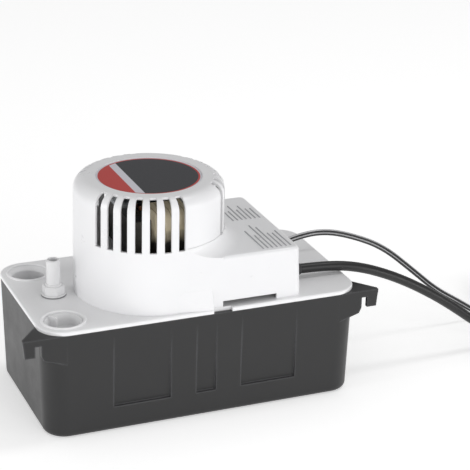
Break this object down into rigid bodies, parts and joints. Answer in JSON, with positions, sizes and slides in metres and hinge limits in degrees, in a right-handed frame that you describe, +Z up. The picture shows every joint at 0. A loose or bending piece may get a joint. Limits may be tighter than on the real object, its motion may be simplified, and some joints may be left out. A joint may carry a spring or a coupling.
{
  "type": "condensate pump",
  "caption": "Tank type condensate pump with a slotted round motor cover, float and overflow switches, a check valve, two inlets, mains lead with plug and twin lead.",
  "frame": {"origin": "on the floor under the middle of the tank", "axes": "+X along the tank towards the leads, +Y towards the back, +Z up"},
  "size_m": [0.5505, 0.1972, 0.1665],
  "materials": {
    "black_abs": "satin",
    "grey_abs": "satin",
    "white_abs": "semi-gloss",
    "label_film": "semi-gloss",
    "black_nylon": "matte",
    "steel": "satin",
    "lamination_steel": "matte",
    "bronze": "satin",
    "copper": "satin",
    "coil_tape": "matte",
    "white_nylon": "matte",
    "float_foam": "matte",
    "black_rubber": "matte",
    "black_pvc": "satin",
    "plated_brass": "polished",
    "red_nylon": "satin"
  },
  "bodies": {
    "housing": {"tank": "black_abs", "deck": "grey_abs", "motor_cover": "white_abs", "top_plate": "label_film", "pump_casing": "black_nylon", "casing_screws": "steel", "intake_plate": "black_nylon", "lower_bracket": "steel", "upper_bracket": "steel", "lower_bearing": "bronze", "upper_bearing": "bronze", "shading_rings": "copper", "stator_stack": "lamination_steel", "coil_bobbin": "white_nylon", "coil_winding": "coil_tape", "stack_spacers": "steel", "through_bolts": "steel", "motor_screws": "steel", "float_guide": "white_nylon", "switch_bracket": "steel", "bracket_screws": "steel", "switch_screws": "steel", "check_valve_body": "white_nylon", "valve_seal": "black_rubber", "discharge_pipe": "black_rubber", "mains_strain_relief": "black_nylon", "mains_lead": "black_pvc", "mains_lead_coil": "black_pvc", "mains_lead_tie": "black_nylon", "plug_body": "black_pvc", "plug_blades": "plated_brass", "plug_ground_pin": "plated_brass", "twin_lead_grommet": "black_rubber", "twin_lead": "black_pvc", "twin_lead_coil": "black_pvc", "twin_lead_tie": "black_nylon", "twin_lead_ends": "copper", "pump_switch": "black_nylon", "pump_lever_pin": "steel", "overflow_switch": "black_nylon", "overflow_lever_pin": "steel"},
    "rotating_group": {"motor_shaft": "steel", "rotor": "lamination_steel", "slinger": "black_rubber", "impeller": "black_nylon", "cooling_fan": "black_nylon"},
    "float_group": {"float": "float_foam", "float_rod": "white_nylon"},
    "poppet": {"valve_poppet": "black_nylon"},
    "front_inlet_cap": {"inlet_cap": "white_nylon"},
    "pump_switch_lever": {"pump_lever": "steel"},
    "pump_switch_button": {"pump_button": "red_nylon"},
    "overflow_switch_lever": {"overflow_lever": "steel"},
    "overflow_switch_button": {"overflow_button": "red_nylon"}
  },
  "joints": [
    {"name": "motor_spin", "type": "hinge", "parent": "housing", "child": "rotating_group", "pos_m": [-0.0236, -0.0061, 0.09], "axis": [0, 0, 1], "continuous": true},
    {"name": "float_slide", "type": "slide", "parent": "housing", "child": "float_group", "axis": [0, 0, 1], "range_m": [0, 0.027]},
    {"name": "poppet_slide", "type": "slide", "parent": "housing", "child": "poppet", "axis": [0, 0, 1], "range_m": [0, 0.004]},
    {"name": "inlet_cap_lift", "type": "slide", "parent": "housing", "child": "front_inlet_cap", "axis": [0, 0, 1], "range_m": [0, 0.03]},
    {"name": "pump_lever_hinge", "type": "hinge", "parent": "housing", "child": "pump_switch_lever", "pos_m": [0.0517, 0.0338, 0.0947], "axis": [-1, 0, 0], "range_deg": [0, 3.8], "stiffness_Nm_per_rad": 0.15, "springref_deg": -2.86},
    {"name": "pump_button_slide", "type": "slide", "parent": "housing", "child": "pump_switch_button", "axis": [0, 0, 1], "range_m": [0, 0.0006]},
    {"name": "overflow_lever_hinge", "type": "hinge", "parent": "housing", "child": "overflow_switch_lever", "pos_m": [0.0575, 0.0338, 0.0977], "axis": [-1, 0, 0], "range_deg": [0, 3.8], "stiffness_Nm_per_rad": 0.15, "springref_deg": -2.86},
    {"name": "overflow_button_slide", "type": "slide", "parent": "housing", "child": "overflow_switch_button", "axis": [0, 0, 1], "range_m": [0, 0.0006]}
  ],
  "couplings": [
    {"joint": "pump_button_slide", "follows": "pump_lever_hinge", "m_per_rad": 0.009},
    {"joint": "overflow_button_slide", "follows": "overflow_lever_hinge", "m_per_rad": 0.009}
  ]
}
